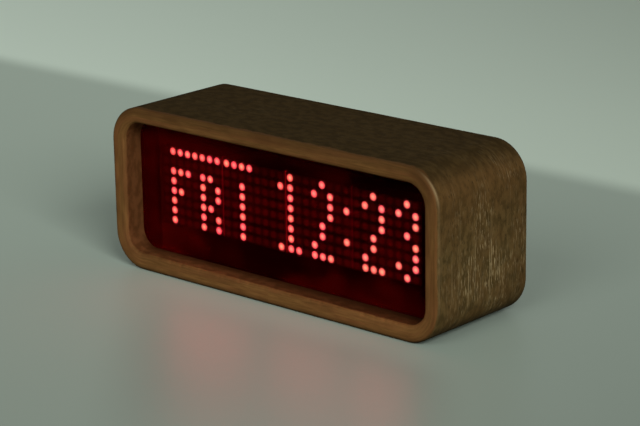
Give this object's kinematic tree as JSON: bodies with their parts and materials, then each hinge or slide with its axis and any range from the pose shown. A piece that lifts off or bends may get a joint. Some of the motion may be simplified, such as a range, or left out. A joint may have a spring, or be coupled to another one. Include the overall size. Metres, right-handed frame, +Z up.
{
  "type": "dot matrix clock",
  "caption": "Desk clock with a red dot matrix display behind a dark red window, in a rounded wooden case with push buttons and a power jack at the back.",
  "frame": {"origin": "on the desk, under the middle of the case", "axes": "+X to the right along the case as seen from the front, +Y towards the back, +Z up"},
  "size_m": [0.165, 0.053, 0.066],
  "materials": {
    "walnut": "satin oil finish",
    "inner_wood": "sawn, dark stain",
    "cover_wood": "satin veneer",
    "red_acrylic": "see-through red, dull face",
    "shell_black": "matt black face",
    "lit_red": "glowing resin",
    "unlit_red": "milky resin",
    "board_green": "solder resist",
    "tinned_metal": "bright",
    "moulded_black": "moulded",
    "ceramic_tan": "ceramic",
    "screw_steel": "zinc plated",
    "spacer_brass": "turned",
    "capacitor_blue": "shrunk sleeve",
    "connector_white": "moulded",
    "ribbon_grey": "flat cable",
    "jack_black": "moulded",
    "pin_chrome": "plated",
    "lead_red": "insulated wire",
    "lead_blue": "insulated wire",
    "cap_black": "moulded",
    "spring_steel": "drawn wire"
  },
  "bodies": {
    "clock_body": {"wooden_case": "walnut", "left_cleat": "inner_wood", "right_cleat": "inner_wood", "cover_blocks": "inner_wood", "rear_cover": "cover_wood", "red_window": "red_acrylic", "matrix_shell_1": "shell_black", "matrix_shell_2": "shell_black", "matrix_shell_3": "shell_black", "matrix_shell_4": "shell_black", "lit_dots": "lit_red", "unlit_dots": "unlit_red", "matrix_substrates": "board_green", "display_board": "board_green", "controller_board": "board_green", "matrix_pins": "tinned_metal", "crystal": "tinned_metal", "coin_cell": "tinned_metal", "matrix_sockets": "moulded_black", "driver_chips": "moulded_black", "driver_resistors": "moulded_black", "controller_chip": "moulded_black", "clock_chip": "moulded_black", "cell_holder": "moulded_black", "button_bases": "moulded_black", "driver_capacitors": "ceramic_tan", "board_screws": "screw_steel", "cover_screws": "screw_steel", "controller_screws": "screw_steel", "button_nuts": "screw_steel", "jack_nut": "screw_steel", "controller_spacers": "spacer_brass", "jack_lugs": "spacer_brass", "button_terminals": "spacer_brass", "filter_capacitor": "capacitor_blue", "display_connector": "connector_white", "controller_connector": "connector_white", "ribbon_cable": "ribbon_grey", "power_jack": "jack_black", "button_bushes": "jack_black", "jack_pin": "pin_chrome", "power_leads": "lead_red", "button_leads": "lead_blue", "mode_spring": "spring_steel", "up_spring": "spring_steel", "down_spring": "spring_steel"},
    "mode_button": {"mode_button": "cap_black"},
    "up_button": {"up_button": "cap_black"},
    "down_button": {"down_button": "cap_black"}
  },
  "joints": [
    {"name": "mode_press", "type": "slide", "parent": "clock_body", "child": "mode_button", "axis": [0, -1, 0], "range_m": [0, 0.0015], "stiffness_N_per_m": 400, "springref_m": -0.002, "deforming": ["mode_spring"]},
    {"name": "up_press", "type": "slide", "parent": "clock_body", "child": "up_button", "axis": [0, -1, 0], "range_m": [0, 0.0015], "stiffness_N_per_m": 400, "springref_m": -0.002, "deforming": ["up_spring"]},
    {"name": "down_press", "type": "slide", "parent": "clock_body", "child": "down_button", "axis": [0, -1, 0], "range_m": [0, 0.0015], "stiffness_N_per_m": 400, "springref_m": -0.002, "deforming": ["down_spring"]}
  ]
}
